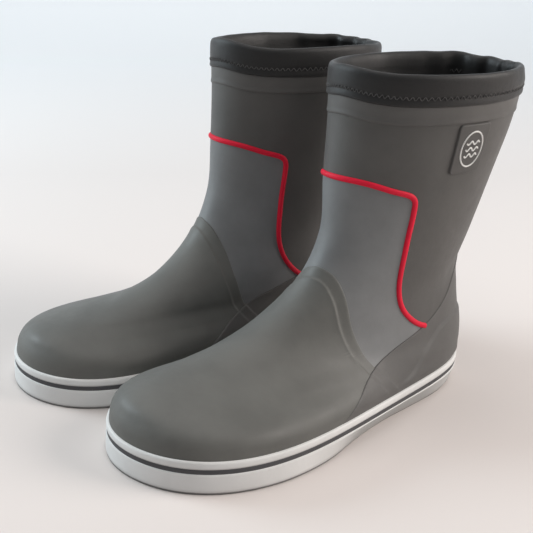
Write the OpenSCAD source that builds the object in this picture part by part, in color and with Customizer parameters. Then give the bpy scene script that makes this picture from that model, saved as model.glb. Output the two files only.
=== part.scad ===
// Pair of short deck boots: rubber uppers, foxed flat soles, padded fabric cuffs.
// Millimetres, +Z up. Toes point to -Y, the left boot stands on +X, the right boot on -X.
// The origin is on the ground, in the middle of the pair's bounding box.

/* [Pair] */
// Sideways distance from the middle plane to each boot's own centre line
boot_spacing = 64; // [62:1:160]

/* [Sole] */
// Height of the line where the upper comes out of the foxing
feather_z = 22.5; // [18:0.5:30]
// Thickness of the tread layer under the foxing
tread_t = 1.2; // [0.8:0.1:2.5]
// Top of the outsole core
outsole_top = 5; // [3:0.5:8]
// Underside of the lasting margin, top of the midsole
margin_z = 9; // [7:0.5:14]
// How far the sidewall stands out of the upper at the feather line
sidewall_out = 1.8; // [1:0.1:4]
// Height of the top of the light sidewall
sidewall_top = 14.2; // [10:0.2:18]
// Height of the top of the dark stripe
stripe_top = 17.4; // [12:0.2:20]
// Spacing of the grooves across the tread
groove_pitch = 12; // [8:1:20]
// Width of a tread groove
groove_w = 1.6; // [1:0.1:3]

/* [Upper] */
// Thickness of the rubber wall inside the nominal surface
rubber_t = 2.2; // [1.5:0.1:3.5]
// Thickness of the textile lining
lining_t = 1.2; // [0.8:0.1:2]
// Thickness of the toe puff and the heel stiffener
stiffener_t = 1; // [0.6:0.1:1.5]
// Raised height of the vamp and the heel counter over the instep panel
overlay_t = 0.5; // [0:0.1:1.2]
// Width of the raised piping
piping_w = 3.6; // [2:0.2:6]
// Height of the raised piping
piping_h = 1.5; // [0.8:0.1:3]

/* [Top] */
// Top end of the rubber shaft
shaft_top = 217.5; // [200:0.5:230]
// Height of the smooth band round the shaft's top
band_h = 11.5; // [6:0.5:20]
// Number of stitches in the zigzag row round the cuff
stitches = 24; // [20:2:90]

/* [Badge] */
// Width of the patch
badge_w = 26; // [16:1:36]
// Height of the patch
badge_h = 32; // [20:1:40]
// Line width of the emblem
emblem_line = 1.1; // [0.6:0.1:2]

/* [Footbed] */
// Thickness of the loose footbed
footbed_t = 4.5; // [3:0.5:7]
// Clearance between the footbed and the lining
footbed_gap = 1.6; // [0.8:0.1:3]

/* [Hidden] */
// Front line of the boot from the feather at the toe, over the instep, to the rim: [forward, up].
// "Forward" is measured from the back of the sole, which is 0, to the tip of the toe, about 300.
front_line = [[298.5, 22.5], [294, 35], [287, 43.5], [264, 49.5], [229, 55], [190, 68.5],
              [155.5, 93], [137.5, 127], [135, 165], [133.5, 200], [133.5, 235]];
// Back line over the heel to the rim, one point for each point of the front line
back_line = [[1.5, 22.5], [1, 30.5], [1.5, 39], [2, 49], [3.5, 61], [5.5, 76],
             [6.5, 94], [3, 119], [-3, 165], [-7, 200], [-8, 235]];
// Half width of each slanted section
half_width = [56.5, 53.5, 45, 38, 36, 35, 34.5, 37.5, 43, 48, 52.5];
// Extra fullness of each section towards the toe
toe_fullness = [11.5, 9.5, 2, -2.5, -3, -1.5, 0.5, 0, -0.5, -1, -1];
// Fullness of both ends of each section
end_fullness = [5.5, 6, 4, 2, 0.5, -0.5, -1.5, -2, -1, -0.5, 0];
// Outward shift of each section, and of its front, as a foot bends inwards at the toe
side_shift = [0.5, -0.5, -2, -4, -5.5, -6, -5, -3.5, -2, -0.5, 0.5];
front_shift = [4, 4.5, 3, 1, 0, 0.5, 3, 3, 0.5, -0.5, -1];
// Bow of each section's centre line
bow = [-3.5, -4, -3.5, -3, -2, -1, -0.5, 0, 0, 0, 0];

// Edge lines of the panels in the side view, as [forward, up]
counter_line = [[190, 8], [165, 23], [129, 41], [100, 51], [70, 60], [47, 71], [30, 84],
                [12, 98], [-30, 122]];
vamp_line = [[190, 108], [150, 111], [141, 107], [136, 92], [133, 70], [124, 48], [104, 28]];
piping_line = [[170, 171], [134, 169], [112, 162.5], [99.5, 158], [97, 149], [98, 122], [99, 98],
               [95, 83], [86, 71.5], [72, 62], [50, 55]];

around = 32;                       // points round a section
angle_step = 360 / around;
top_station = len(front_line) - 1;
rim_z = front_line[top_station][1];
station_rise = rim_z - front_line[top_station - 1][1];
shaft_top_v = top_station - (rim_z - shaft_top) / station_rise;
inner_face = -rubber_t - lining_t; // inner face of the lining, measured from the nominal surface
seam_gap = 0.05;                   // clearance round the stiffeners
toe_end = front_line[0][0] + sidewall_out;
cuff_out = 1.9;                    // how far the padded cuff stands out
stitch_low = 221.4;                // heights of the two ends of a zigzag stitch
stitch_high = 224;
stitch_out = cuff_out + 0.5;       // inner face of the thread
strand = 0.5;                      // half the thread's height, and its thickness
reach = 90;                        // half length of the cutting prisms, wider than any boot
SIDES = ["left", "right"];
PIECES = ["outsole", "foxing_sidewall", "foxing_stripe", "foxing_rim", "midsole", "insole_board",
          "footbed", "lining", "toe_puff", "heel_stiffener", "shaft", "instep_panel", "piping",
          "vamp", "heel_counter", "top_band", "cuff", "cuff_padding", "cuff_stitching",
          "badge_patch", "badge_emblem"];

sole_grey = [0.70, 0.69, 0.67];
stripe_grey = [0.25, 0.25, 0.26];
upper_grey = [0.40, 0.39, 0.38];
panel_grey = [0.46, 0.47, 0.48];
vamp_grey = [0.44, 0.44, 0.42];
band_grey = [0.45, 0.44, 0.43];
cuff_grey = [0.25, 0.24, 0.24];
piping_red = [0.72, 0.12, 0.17];

// ---- curves ----

// Smooth curve through the rows of a list at position v
function along(rows, v) =
    let (last = len(rows) - 1,
         i = min(floor(max(v, 0)), last - 1),
         t = v - i,
         a = rows[i],
         b = rows[i + 1],
         slope_a = i > 0 ? (b - rows[i - 1]) / 2 : b - a,
         slope_b = i + 2 <= last ? (rows[i + 2] - a) / 2 : b - a)
    a * (2 * t ^ 3 - 3 * t ^ 2 + 1) + slope_a * (t ^ 3 - 2 * t ^ 2 + t)
    + b * (3 * t ^ 2 - 2 * t ^ 3) + slope_b * (t ^ 3 - t ^ 2);

function smooth_line(points, steps) =
    [for (k = [0:(len(points) - 1) * steps]) along(points, k / steps)];

// ---- the boot's surface ----

stations = [for (i = [0:top_station])
    [front_line[i][0], front_line[i][1], back_line[i][0], back_line[i][1], half_width[i],
     toe_fullness[i], end_fullness[i], side_shift[i], front_shift[i], bow[i]]];
stitch_v = top_station + (stitch_low - rim_z) / station_rise;
rear_end = along(stations, stitch_v)[2] - stitch_out - strand;
y_mid = (toe_end + rear_end) / 2;  // middle of the boot's length

// One point of a section: angle 0 is the front, 90 the outer side of a left boot
function section_point(s, angle) =
    let (h = (1 + cos(angle)) / 2)
    [s[4] * sin(angle) + s[5] * sin(2 * angle) + s[6] * sin(3 * angle)
     - 1.2 * max(0, s[6] / 5) * sin(4 * angle) + s[7] + s[8] * cos(angle) + s[9] * cos(2 * angle),
     -(s[2] + (s[0] - s[2]) * h),
     s[3] + (s[1] - s[3]) * h];

function unit(v) = v / norm(v);

// A ring of points at station v, moved out of the surface by o
function skin_ring(v, o) =
    let (s = along(stations, v),
         above = along(stations, min(v + 0.1, top_station)),
         below = along(stations, max(v - 0.1, 0)),
         lift = o > 0 ? o * min(1, 2 * v) : o)
    [for (j = [0:around - 1])
        let (a = j * angle_step,
             round_way = section_point(s, a + 2) - section_point(s, a - 2),
             up_way = section_point(above, a) - section_point(below, a))
        section_point(s, a) + lift * unit(cross(round_way, up_way))];

// A level ring with the outline of station v, moved out by o, at height z
function level_ring(v, o, z) =
    let (s = along(stations, v))
    [for (j = [0:around - 1])
        let (a = j * angle_step,
             p = section_point(s, a),
             d = section_point(s, a + 2) - section_point(s, a - 2),
             n = unit([d[1], -d[0], 0]))
        [p[0] + o * n[0], p[1] + o * n[1], z]];

// A level ring round the top of the shaft at height z
function top_ring(o, z) =
    level_ring(min(top_station, top_station + (z - rim_z) / station_rise), o, z);

// Outline of the sole: the feather line moved out by o
function sole_outline(o) = [for (p = level_ring(0, o, 0)) [p[0], p[1]]];

// ---- solids from rings ----

// Quads between neighbouring rings, as triangles; the list of rings closes on itself.
// The second half of the rings takes the other diagonal, so that nested walls share their faces.
module ring_solid(rings) {
    count = len(rings);
    points = [for (r = rings) for (p = r) p];
    faces = [for (i = [0:count - 1]) for (j = [0:around - 1])
        let (a = i * around + j,
             b = i * around + (j + 1) % around,
             c = ((i + 1) % count) * around + (j + 1) % around,
             d = ((i + 1) % count) * around + j)
        each i < count / 2 ? [[a, d, c], [a, c, b]] : [[a, d, b], [b, d, c]]];
    polyhedron(points = points, faces = faces, convexity = 10);
}

// Wall between two offsets, from station v0 to v1; margin adds the lasting margin below station 0
module wall(v0, v1, o_in, o_out, margin = false) {
    steps = [v0, each [for (v = [each [0:0.5:4], each [5:9]]) if (v > v0 && v < v1) v], v1];
    outer = concat(margin ? [level_ring(0, min(o_out, 0), margin_z)] : [],
                   [for (v = steps) skin_ring(v, o_out)]);
    inner = concat(margin ? [level_ring(0, o_in, margin_z)] : [],
                   [for (v = steps) skin_ring(v, o_in)]);
    last = len(inner) - 1;
    ring_solid(concat(outer, [for (i = [0:last]) inner[last - i]]));
}

// Prism across the boot over an outline drawn in the side view as [forward, up]
module side_prism(outer_side_only = false) {
    shift = outer_side_only ? reach / 2 + 10 : 0;
    translate([shift, 0, 0])
        rotate([90, 0, -90])
            linear_extrude(height = outer_side_only ? reach : 2 * reach, center = true)
                children();
}

// ---- side view areas of the panels ----

module counter_area() {
    polygon(concat([[-60, -20], [190, -20]], smooth_line(counter_line, 3), [[-60, 122]]));
}

module vamp_area() {
    difference() {
        polygon(concat(smooth_line(vamp_line, 3), [[104, -20], [330, -20], [330, 108]]));
        counter_area();
    }
}

module under_piping_area() {
    polygon(concat(smooth_line(piping_line, 3), [[50, 20], [170, 20]]));
}

module instep_area() {
    difference() {
        under_piping_area();
        counter_area();
        vamp_area();
    }
}

module shaft_area() {
    difference() {
        translate([-60, 0])
            square([300, 260]);
        under_piping_area();
        counter_area();
        vamp_area();
    }
}

module piping_area() {
    difference() {
        offset(delta = piping_w / 2)
            under_piping_area();
        offset(delta = -piping_w / 2)
            under_piping_area();
        counter_area();
        translate([0, -20])
            square([330, 80]);
        translate([150, 0])
            square([100, 160]);
        vamp_area();
    }
}

module puff_area() {
    translate([236, 12])
        square([100, 60]);
}

module stiffener_area() {
    polygon(concat([[-20, 12], [84, 12]], smooth_line([[76, 40], [58, 62], [30, 76], [-20, 80]], 3)));
}

module emblem_area() {
    difference() {
        scale([0.75, 1])
            circle(r = 12, $fn = 24);
        scale([0.75, 1])
            circle(r = 12 - emblem_line * 1.2, $fn = 24);
    }
    for (row = [-4.5, 0, 4.5])
        wave(row);
}

module wave(height) {
    half = 6;
    crest = [for (x = [-half:2:half]) [x, height + 1.1 * sin(x * 60)]];
    count = len(crest);
    polygon(concat(crest, [for (i = [1:count]) crest[count - i] - [0, emblem_line]]));
}

// ---- pieces of a left boot, in its own frame ----

module outsole() color(stripe_grey) {
    linear_extrude(height = tread_t)
        difference() {
            polygon(sole_outline(sidewall_out - 0.4));
            intersection() {
                polygon(sole_outline(-8));
                for (k = [2:23])
                    if (k < 9 || k > 12)
                        translate([-reach, -k * groove_pitch])
                            square([2 * reach, groove_w]);
            }
        }
    translate([0, 0, tread_t])
        linear_extrude(height = outsole_top - tread_t)
            polygon(sole_outline(0));
}

module foxing(z0, z1, out) {
    translate([0, 0, z0])
        linear_extrude(height = z1 - z0)
            difference() {
                polygon(sole_outline(out));
                polygon(sole_outline(0));
            }
}

module foxing_sidewall() color(sole_grey) foxing(tread_t, sidewall_top, sidewall_out);

module foxing_stripe() color(stripe_grey) foxing(sidewall_top, stripe_top, sidewall_out - 0.5);

module foxing_rim() color(sole_grey) foxing(stripe_top, feather_z, sidewall_out - 0.1);

module midsole() color("dimgray")
    translate([0, 0, outsole_top])
        linear_extrude(height = margin_z - outsole_top)
            polygon(sole_outline(0));

module insole_board() color("tan")
    translate([0, 0, margin_z])
        linear_extrude(height = 2.5)
            polygon(sole_outline(inner_face));

module footbed() color("dimgray")
    translate([0, 0, margin_z + 2.8])
        linear_extrude(height = footbed_t)
            polygon(sole_outline(inner_face - footbed_gap));

module lining() color("silver") wall(0, shaft_top_v, inner_face, -rubber_t, margin = true);

module toe_puff() color("gainsboro")
    resize([0, 0, 0])
        intersection() {
            wall(0.5, 4.5, -rubber_t, -rubber_t + stiffener_t);
            side_prism()
                puff_area();
        }

module heel_stiffener() color("gainsboro")
    resize([0, 0, 0])
        intersection() {
            wall(0.5, 6.5, -rubber_t, -rubber_t + stiffener_t);
            side_prism()
                stiffener_area();
        }

// A panel of the rubber wall, with the pockets of the stiffeners cut from its inside
module panel(v0, v1, raise, margin) {
    resize([0, 0, 0])
        difference() {
            intersection() {
                wall(v0, v1, -rubber_t, raise, margin);
                side_prism()
                    children();
            }
            intersection() {
                wall(0.25, 4.5, -rubber_t - 1, -rubber_t + stiffener_t + seam_gap);
                side_prism()
                    offset(delta = seam_gap)
                        puff_area();
            }
            intersection() {
                wall(0.25, 6.5, -rubber_t - 1, -rubber_t + stiffener_t + seam_gap);
                side_prism()
                    offset(delta = seam_gap)
                        stiffener_area();
            }
        }
}

module shaft() color(upper_grey) panel(4, shaft_top_v, 0.3, false) shaft_area();

module instep_panel() color(panel_grey) panel(3, 9, 0, false) instep_area();

module vamp() color(vamp_grey) panel(0, 8, overlay_t, true) vamp_area();

module heel_counter() color(upper_grey) panel(0, 8, overlay_t, true) counter_area();

module piping() color(piping_red)
    resize([0, 0, 0])
        intersection() {
            wall(4, 9, 0.35, 0.35 + piping_h);
            side_prism()
                piping_area();
        }

module top_band() color(band_grey)
    ring_solid([for (p = [[0.4, shaft_top - band_h], [1, shaft_top - band_h], [1.3, shaft_top - band_h + 1],
                          [1.1, shaft_top - band_h + 2.4], [1.1, shaft_top], [0.4, shaft_top]])
        top_ring(p[0], p[1])]);

// Padded cuff: one fabric skin from its outer lower edge, over the rounded rim, down inside the shaft
module cuff() color(cuff_grey)
    ring_solid([for (p = [[0.3, 217.6], [1.7, 218.3], [cuff_out, 221.5], [1.6, 228], [1, 232.2], [-0.5, 234.8],
                          [-2.6, 235.2], [-4.3, 232.8], [-4.9, 228], [-4.9, 199], [-3.6, 199], [-3.6, 228],
                          [-3, 232], [-2.1, 233.6], [-0.9, 233.2], [-0.2, 231], [0.4, 227], [0.5, 222.5]])
        top_ring(p[0], p[1])]);

module cuff_padding() color("gray")
    ring_solid([for (p = [[0, 218.5], [0.2, 222.5], [0.1, 227], [-0.5, 231], [-1.1, 232.8], [-2, 233.2],
                          [-2.7, 231.8], [-3.3, 228], [-3.3, 218.5]])
        top_ring(p[0], p[1])]);

// Zigzag thread round the cuff: a square strand that steps between two heights
module cuff_stitching() color("silver") {
    count = 2 * stitches;
    s = along(stations, stitch_v);
    path = [for (k = [0:count - 1])
        let (a = k * 360 / count,
             p = section_point(s, a),
             d = section_point(s, a + 2) - section_point(s, a - 2),
             n = unit([d[1], -d[0], 0]),
             z = k % 2 == 0 ? stitch_low : stitch_high)
        [[p[0], p[1], z], n]];
    outer = stitch_out + strand;
    corners = [[stitch_out, -strand], [outer, -strand], [outer, strand], [stitch_out, strand]];
    points = [for (q = path) for (c = corners) q[0] + c[0] * q[1] + [0, 0, c[1]]];
    faces = [for (k = [0:count - 1]) for (c = [0:3])
        let (n = (k + 1) % count,
             a = k * 4 + c,
             b = n * 4 + c,
             e = n * 4 + (c + 1) % 4,
             f = k * 4 + (c + 1) % 4)
        each [[a, f, e], [a, e, b]]];
    polyhedron(points = points, faces = faces, convexity = 10);
}

module badge_patch() color(upper_grey)
    resize([0, 0, 0])
        intersection() {
            wall(8, shaft_top_v, 0.35, 1.6);
            side_prism(outer_side_only = true)
                badge_centre()
                    square([badge_w, badge_h], center = true);
        }

module badge_emblem() color("white")
    resize([0, 0, 0])
        intersection() {
            wall(8, shaft_top_v, 1.6, 2.2);
            side_prism(outer_side_only = true)
                badge_centre()
                    emblem_area();
        }

module badge_centre() {
    translate([65.5, 188.5])
        children();
}

// ---- assembly ----

module piece(name) {
    if (name == "outsole") outsole();
    if (name == "foxing_sidewall") foxing_sidewall();
    if (name == "foxing_stripe") foxing_stripe();
    if (name == "foxing_rim") foxing_rim();
    if (name == "midsole") midsole();
    if (name == "insole_board") insole_board();
    if (name == "footbed") footbed();
    if (name == "lining") lining();
    if (name == "toe_puff") toe_puff();
    if (name == "heel_stiffener") heel_stiffener();
    if (name == "shaft") shaft();
    if (name == "instep_panel") instep_panel();
    if (name == "piping") piping();
    if (name == "vamp") vamp();
    if (name == "heel_counter") heel_counter();
    if (name == "top_band") top_band();
    if (name == "cuff") cuff();
    if (name == "cuff_padding") cuff_padding();
    if (name == "cuff_stitching") cuff_stitching();
    if (name == "badge_patch") badge_patch();
    if (name == "badge_emblem") badge_emblem();
}

// The right boot is the left boot's mirror image
module on_side(side) {
    mirror([side == "right" ? 1 : 0, 0, 0])
        translate([boot_spacing, y_mid, 0])
            children();
}

for (side = SIDES) for (name = PIECES)
    on_side(side) piece(name);
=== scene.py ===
"""Visual model of a pair of short deck boots: rubber uppers, foxed flat soles and padded fabric cuffs.

Shapes are worked out in millimetres in a left boot's own frame: x outwards, y backwards from the back of the
sole, z up. In the side view a point is [forward, up], and forward is -y. place() gives metres in the shared
frame, and mirrors the right boot.
"""

import math

import bmesh
import bpy
import numpy as np
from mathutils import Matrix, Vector


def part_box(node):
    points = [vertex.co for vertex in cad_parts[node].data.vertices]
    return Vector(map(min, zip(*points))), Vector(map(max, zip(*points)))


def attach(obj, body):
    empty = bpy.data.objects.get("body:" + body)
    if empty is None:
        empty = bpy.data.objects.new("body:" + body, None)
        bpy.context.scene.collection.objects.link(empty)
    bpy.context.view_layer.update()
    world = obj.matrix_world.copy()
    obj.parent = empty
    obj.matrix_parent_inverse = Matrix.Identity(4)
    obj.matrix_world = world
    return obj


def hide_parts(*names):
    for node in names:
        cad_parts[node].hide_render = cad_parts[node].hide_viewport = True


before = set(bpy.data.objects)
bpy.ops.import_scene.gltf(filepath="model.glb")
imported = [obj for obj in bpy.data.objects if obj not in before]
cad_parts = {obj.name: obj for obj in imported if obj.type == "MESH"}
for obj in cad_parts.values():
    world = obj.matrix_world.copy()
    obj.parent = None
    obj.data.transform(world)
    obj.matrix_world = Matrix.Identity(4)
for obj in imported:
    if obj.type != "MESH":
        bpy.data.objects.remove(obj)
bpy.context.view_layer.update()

MM = 0.001
SIDES = ("left", "right")

# ---- driving sizes, in millimetres ----

# Front line over the toe and instep to the rim, and back line over the heel, as [forward, up], then the form
# of each slanted section: half width, fullness towards the toe, fullness of both ends, outward shift, outward
# shift of the front, and bow of the centre line.
FRONT_LINE = [[298.5, 22.5], [294, 35], [287, 43.5], [264, 49.5], [229, 55], [190, 67.7], [155.5, 92.5],
              [137.5, 127], [135, 165], [133.5, 200], [133.5, 235]]
BACK_LINE = [[1.5, 22.5], [1, 30.5], [1.5, 39], [2, 49], [4.3, 61], [6.5, 76], [6.7, 94], [3, 119],
             [-3, 165], [-7, 200], [-8, 235]]
HALF_WIDTH = [56.5, 53.5, 45, 38, 36, 35, 34.5, 37.5, 43, 48, 51.5]
TOE_FULLNESS = [11.5, 9.5, 2, -2.5, -3, -1.5, 0.5, 0, -0.5, -1, -1]
END_FULLNESS = [5.5, 6, 4, 2, 0.5, -0.5, -1.5, -2, -1, -0.5, 0]
SIDE_SHIFT = [0.5, -0.5, -2, -4, -5.5, -6, -5, -3.5, -2, -0.5, 0.5]
FRONT_SHIFT = [4, 4.5, 3, 1, 0, 0.5, 3, 3, 0.5, -0.5, -1]
BOW = [-3.5, -4, -3.5, -3, -2, -1, -0.5, 0, 0, 0, 0]
HEEL_SHARE = 0.24      # share of the ends' fullness that moves from the toe to the heel

# Edge lines of the panels in the side view
COUNTER_LINE = [[190, 8], [165, 23], [129, 41], [100, 51], [70, 60], [47, 71], [30, 84], [12, 98], [-30, 122]]
VAMP_LINE = [[190, 108], [150, 111], [141, 107], [136, 92], [133, 70], [124, 48], [104, 28]]
PIPING_LINE = [[170, 171], [134, 169], [112, 162.5], [99.5, 158], [97, 149], [98, 122], [99, 98], [95, 83],
               [86, 71.5], [72, 62], [50, 55]]
STIFFENER_LINE = [[115, 22], [85, 30], [66, 44], [48, 55], [22, 58], [-20, 58]]
# How far each line moves on the inner side of the boot, as [forward, up]
INNER_COUNTER_SHIFT = [0, 6]
INNER_VAMP_SHIFT = [5, 0]
INNER_PIPING_SHIFT = [1.5, -0.5]

# How far the sole's sides are drawn in at the floor, at equal steps from the heel to the toe
SOLE_DRAW = [[3], [4], [6], [6.5], [4.5], [1], [0], [0], [0], [0]]
DRAW_STEP = 35
WAIST_HALF_WIDTH = 36  # half width of the sole where it is drawn in
HEEL_DRAW = 4.5        # how far the back of the heel is drawn in at the floor
HEEL_LENGTH = 60

# Heights of the sole's layers and of the lines round the top, over the floor
FEATHER_Z = 22.5
TREAD_T = 1.2
SOLE_TOP_Z = 5
MARGIN_Z = 9
SIDEWALL_TOP_Z = 14.2
STRIPE_TOP_Z = 17.4
SHAFT_TOP_Z = 217.5
BAND_Z = 206
STITCH_Z = 222.6

# Heights of the panels' faces over the boot's own surface
PANEL_H = 0.0
SHAFT_H = 0.1
VAMP_H = 0.6
VAMP_RIDGE_H = 0.65    # extra height in front of the ridge
RIDGE_INSET = 8.5      # from the vamp's edge to its ridge
RIDGE_SOFTNESS = 2.4   # width of the ridge's slope
COUNTER_H = 0.75
VAMP_ROUND = 0.7       # radius of the rounded edge
COUNTER_ROUND = 0.65
OVERLAP_SHOWN = 0.85   # share of the vamp's height that shows through the counter over it
STIFFENER_H = 1.1
BURIED = -0.5          # where an overlapping edge meets the panel below it
FOXING_INNER = -0.8    # inner faces of the foxing, the rubber wall and the lining
WALL_INNER = -2.1
LINING_INNER = -3.4
HIDDEN_LAP = 2.5       # how far a lower panel runs on under an upper one
PIPING_LAP = 0.6       # how far the panels run on under the piping
PIPING_W = 3.8
PIPING_H = 1.5
FRONT_RISE = 3.8       # rise of the band, hem and rim at the front of the boot
FRONT_RISE_SPREAD = 0.1
BADGE_CENTRE = [65.5, 188.5]
BADGE_SIZE = [26, 33]
BADGE_H = 1.5
FOOTBED_Z = 11.8
FOOTBED_T = 4.5

ROW_SPACING = 1.8      # between the rows of the uppers' grid
AROUND = 264           # columns of that grid round the boot
BELOW_FEATHER = -0.5   # lowest station of the uppers, inside the foxing
DROP = 8               # fall of the surface per station below the feather line
SHARP_DEG = 55         # edges sharper than this stay crisp


# ---- curves ----

def along(rows, v):
    """Points of the smooth curve through the rows of a list, at positions v."""
    rows = np.asarray(rows, float)
    v = np.asarray(v, float)
    last = len(rows) - 1
    i = np.clip(np.floor(v).astype(int), 0, last - 1)
    t = (v - i)[..., None]
    a, b = rows[i], rows[i + 1]
    before, after = rows[np.maximum(i - 1, 0)], rows[np.minimum(i + 2, last)]
    slope_a = np.where((i > 0)[..., None], (b - before) / 2, b - a)
    slope_b = np.where((i + 2 <= last)[..., None], (after - a) / 2, b - a)
    return (a * (2 * t ** 3 - 3 * t ** 2 + 1) + slope_a * (t ** 3 - 2 * t ** 2 + t)
            + b * (3 * t ** 2 - 2 * t ** 3) + slope_b * (t ** 3 - t ** 2))


def smooth_line(points):
    steps = 10
    return along(points, np.linspace(0, len(points) - 1, (len(points) - 1) * steps + 1))


def smooth_loop(points, steps):
    """The smooth closed curve through points."""
    count = len(points)
    wrapped = [points[-2], points[-1], *points, points[0], points[1]]
    return along(wrapped, 2 + np.arange(count * steps) / steps)


def resample(path, spacing):
    """The rows of a path at equal distances along it; the first three columns are the place."""
    steps = np.linalg.norm(np.diff(path[:, :3], axis=0), axis=1)
    run = np.concatenate([[0], np.cumsum(steps)])
    at = np.linspace(0, run[-1], max(2, int(round(run[-1] / spacing)) + 1))
    return np.stack([np.interp(at, run, column) for column in path.T], axis=1)


def unit(vectors):
    return vectors / np.linalg.norm(vectors, axis=-1, keepdims=True)


def turns(count):
    """Angles of equal steps once round."""
    return np.arange(count) * math.tau / count


def ease(x, width):
    """0 below a step, 1 above it, and a soft rise of that width between."""
    t = np.clip(x / width + 0.5, 0, 1)
    return t * t * (3 - 2 * t)


def quarter_round(t):
    """Rise of a rounded edge from 0 at its foot to 1 at its face, for t from 0 to 1 across it."""
    return np.sqrt(np.maximum(0, 1 - (1 - np.clip(t, 0, 1)) ** 2))


def line_distance(points, x, y, runs_on=False):
    """Signed distance from a line of points, positive to its left; it may run on straight at both ends."""
    best = np.full(np.shape(x), np.inf)
    signed = np.zeros(np.shape(x))
    last = len(points) - 2
    for k in range(last + 1):
        dx, dy = points[k + 1] - points[k]
        px, py = x - points[k][0], y - points[k][1]
        low = -np.inf if runs_on and k == 0 else 0
        high = np.inf if runs_on and k == last else 1
        t = np.clip((px * dx + py * dy) / (dx * dx + dy * dy), low, high)
        away = np.hypot(px - t * dx, py - t * dy)
        nearer = away < best
        best = np.where(nearer, away, best)
        signed = np.where(nearer, np.copysign(away, dx * py - dy * px), signed)
    return signed


# ---- the boot's surface ----

STATIONS = np.column_stack([FRONT_LINE, BACK_LINE, HALF_WIDTH, TOE_FULLNESS, END_FULLNESS, SIDE_SHIFT,
                            FRONT_SHIFT, BOW])
TOP_STATION = len(STATIONS) - 1
RIM_Z = FRONT_LINE[-1][1]
STATION_RISE = RIM_Z - FRONT_LINE[-2][1]


def section(stations, angle):
    """Points of slanted sections; angle 0 is the front, and a quarter turn the outer side."""
    (front, front_z, back, back_z, half_width, toe_full, end_full,
     shift, front_shift, bow) = np.moveaxis(stations, -1, 0)
    h = (1 + np.cos(angle)) / 2
    x = (half_width * np.sin(angle) + toe_full * np.sin(2 * angle) + end_full * np.sin(3 * angle)
         - HEEL_SHARE * np.maximum(0, end_full) * np.sin(4 * angle)
         + shift + front_shift * np.cos(angle) + bow * np.cos(2 * angle))
    return np.stack([x, -(back + (front - back) * h), back_z + (front_z - back_z) * h], -1)


def round_way(stations, angle):
    """Steps along the sections, which point round the boot."""
    turn = math.radians(2)
    return section(stations, angle + turn) - section(stations, angle - turn)


def normals(v, angle):
    reach = 0.1
    above = along(STATIONS, np.minimum(v + reach, TOP_STATION))
    below = along(STATIONS, np.maximum(v - reach, 0))
    return unit(np.cross(round_way(along(STATIONS, v), angle), section(above, angle) - section(below, angle)))


def skin(v, angle, offset):
    """Points moved out of the surface by offset, which fades in over the foxing if it is outward."""
    v, angle = np.broadcast_arrays(np.asarray(v, float), np.asarray(angle, float))
    on = np.maximum(v, 0)
    points = section(along(STATIONS, on), angle)
    points[..., 2] += np.minimum(v, 0) * DROP
    offset = np.where(offset > 0, offset * np.minimum(1, 2 * on), offset)
    return points + offset[..., None] * normals(on, angle)


def level_ring(v, angle, offset, z):
    """Points with the outline of station v, moved out level by offset, at height z."""
    v, angle = np.broadcast_arrays(np.asarray(v, float), np.asarray(angle, float))
    stations = along(STATIONS, v)
    way = round_way(stations, angle)
    out = unit(np.stack([way[..., 1], -way[..., 0]], -1))
    points = section(stations, angle)
    points[..., :2] += np.asarray(offset)[..., None] * out
    points[..., 2] = z
    return points


def top_ring(angle, offset, z):
    """Points round the top of the shaft, where every line rises a little at the front."""
    z = np.asarray(z, float)
    station = np.minimum(TOP_STATION, TOP_STATION + (z - RIM_Z) / STATION_RISE)
    front = np.exp((np.cos(angle) - 1) / FRONT_RISE_SPREAD)
    return level_ring(station, angle, offset, z + FRONT_RISE * front)


def on_side(forward, up):
    """Station and angle of points of the outer side, given in the side view."""
    low, high = np.zeros(np.shape(forward)), np.full(np.shape(forward), float(TOP_STATION))
    for _ in range(40):
        v = (low + high) / 2
        front, front_z, back, back_z = np.moveaxis(along(STATIONS, v), -1, 0)[:4]
        h = np.clip((forward - back) / (front - back), 0, 1)
        under = back_z + (front_z - back_z) * h < up
        low, high = np.where(under, v, low), np.where(under, high, v)
    return v, np.arccos(2 * h - 1)


# ---- where the boots stand, read from the CAD model ----

def boot_origin():
    """Sideways and backward place of the left boot's own frame, from the box of its midsole."""
    ring = section(STATIONS[0], turns(32))
    low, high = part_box("left_midsole")
    middle = (ring.min(axis=0) + ring.max(axis=0)) / 2
    return (low[0] + high[0]) / 2 / MM - middle[0], (low[1] + high[1]) / 2 / MM - middle[1]


BOOT_X, BOOT_Y = boot_origin()


def place(points, side):
    points = (np.asarray(points, float) + [BOOT_X, BOOT_Y, 0]) * MM
    if side == "right":
        points[:, 0] *= -1
    return points


# ---- meshes ----

def add_piece(side, node, slot, vertices, faces, body="boot"):
    """A closed mesh piece that rides on a body and stands for a CAD node, in its slot's material."""
    mesh = bpy.data.meshes.new(f"{side}_{node}_form")
    faces = faces.tolist() if isinstance(faces, np.ndarray) else faces
    mesh.from_pydata(place(vertices, side).tolist(), [], faces)
    work = bmesh.new()
    work.from_mesh(mesh)
    bmesh.ops.recalc_face_normals(work, faces=work.faces)
    work.to_mesh(mesh)
    work.free()
    mesh.shade_smooth()
    mesh.set_sharp_from_angle(angle=math.radians(SHARP_DEG))
    mesh.materials.append(MATERIALS[slot])
    piece = bpy.data.objects.new(f"{side}_{node}_form", mesh)
    bpy.context.scene.collection.objects.link(piece)
    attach(piece, f"{side}_{body}")
    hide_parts(f"{side}_{node}")
    return piece


def grid_faces(rows, columns, close_rows=False, close_columns=True):
    """Quads of a grid of vertices, which may join up with itself either way."""
    i = np.arange(rows if close_rows else rows - 1)[:, None]
    j = np.arange(columns if close_columns else columns - 1)[None, :]
    a = i * columns + j
    b = i * columns + (j + 1) % columns
    c = (i + 1) % rows * columns + (j + 1) % columns
    d = (i + 1) % rows * columns + j
    return np.stack([a, b, c, d], -1).reshape(-1, 4)


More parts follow.
